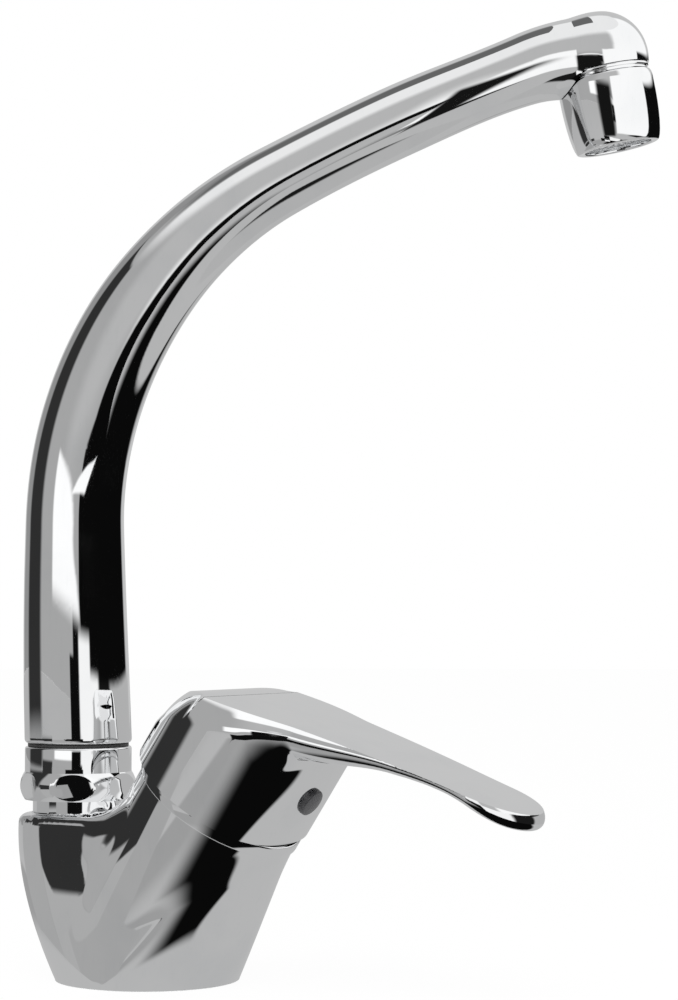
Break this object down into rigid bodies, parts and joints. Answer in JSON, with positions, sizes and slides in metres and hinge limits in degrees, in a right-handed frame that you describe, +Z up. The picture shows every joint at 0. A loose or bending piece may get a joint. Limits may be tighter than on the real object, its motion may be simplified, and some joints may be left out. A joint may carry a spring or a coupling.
{
  "type": "single-handle kitchen faucet",
  "caption": "Chrome kitchen mixer tap: tapered round body, tall curved swivel spout with a tilted aerator, and an inclined cap with a long flat lever for flow and heat.",
  "frame": {"origin": "centre of the base underside, at the mouth of the fixing stud hole", "axes": "+X to the front, where the lever points; +Y to the left; +Z up from the deck"},
  "size_m": [0.1617, 0.1458, 0.2797],
  "materials": {
    "chrome": "polished chrome plate on cast brass",
    "brass": "machined",
    "steel": "plain stainless steel",
    "rubber": "matt black",
    "cartridge_plastic": "moulded acetal",
    "aerator_plastic": "moulded acetal",
    "washer_plastic": "dark nylon",
    "plug_plastic": "dark grey cap",
    "ceramic": "lapped alumina"
  },
  "bodies": {
    "base": {"body_casting": "chrome", "base_seal_ring": "rubber", "cartridge_base": "cartridge_plastic", "cartridge_seals": "rubber", "fixed_ceramic_disc": "ceramic", "cartridge_housing": "cartridge_plastic", "cartridge_nut": "brass", "trim_ring": "chrome", "spout_nut": "chrome"},
    "turret": {"stem_turret": "cartridge_plastic", "turret_o_ring": "rubber", "stem_pivot_pin": "steel"},
    "lever": {"handle": "chrome", "lever_stem": "brass", "grub_screw": "steel", "index_plug": "plug_plastic"},
    "sliding_disc": {"disc_carrier": "cartridge_plastic", "moving_ceramic_disc": "ceramic"},
    "swivel_spout": {"spout": "chrome", "spout_slip_washer": "washer_plastic", "spout_o_rings": "rubber", "spout_retaining_ring": "washer_plastic", "aerator_housing": "chrome", "aerator_gasket": "rubber", "aerator_strainer": "aerator_plastic", "aerator_jet": "aerator_plastic", "aerator_grid": "aerator_plastic"}
  },
  "joints": [
    {"name": "spout_swivel", "type": "hinge", "parent": "base", "child": "swivel_spout", "pos_m": [-0.0242, 0, 0], "axis": [0, 0, 1], "continuous": true},
    {"name": "temperature_turn", "type": "hinge", "parent": "base", "child": "turret", "pos_m": [-0.0091, 0, 0], "axis": [0.5592, 0, 0.829], "range_deg": [-50, 50]},
    {"name": "lever_lift", "type": "hinge", "parent": "turret", "child": "lever", "pos_m": [0.02277, 0, 0.04725], "axis": [0, -1, 0], "range_deg": [0, 25]},
    {"name": "disc_slide", "type": "slide", "parent": "turret", "child": "sliding_disc", "axis": [0.829, 0, -0.5592], "range_m": [0, 0.0049]}
  ],
  "couplings": [
    {"joint": "disc_slide", "follows": "lever_lift", "m_per_rad": 0.0112}
  ]
}
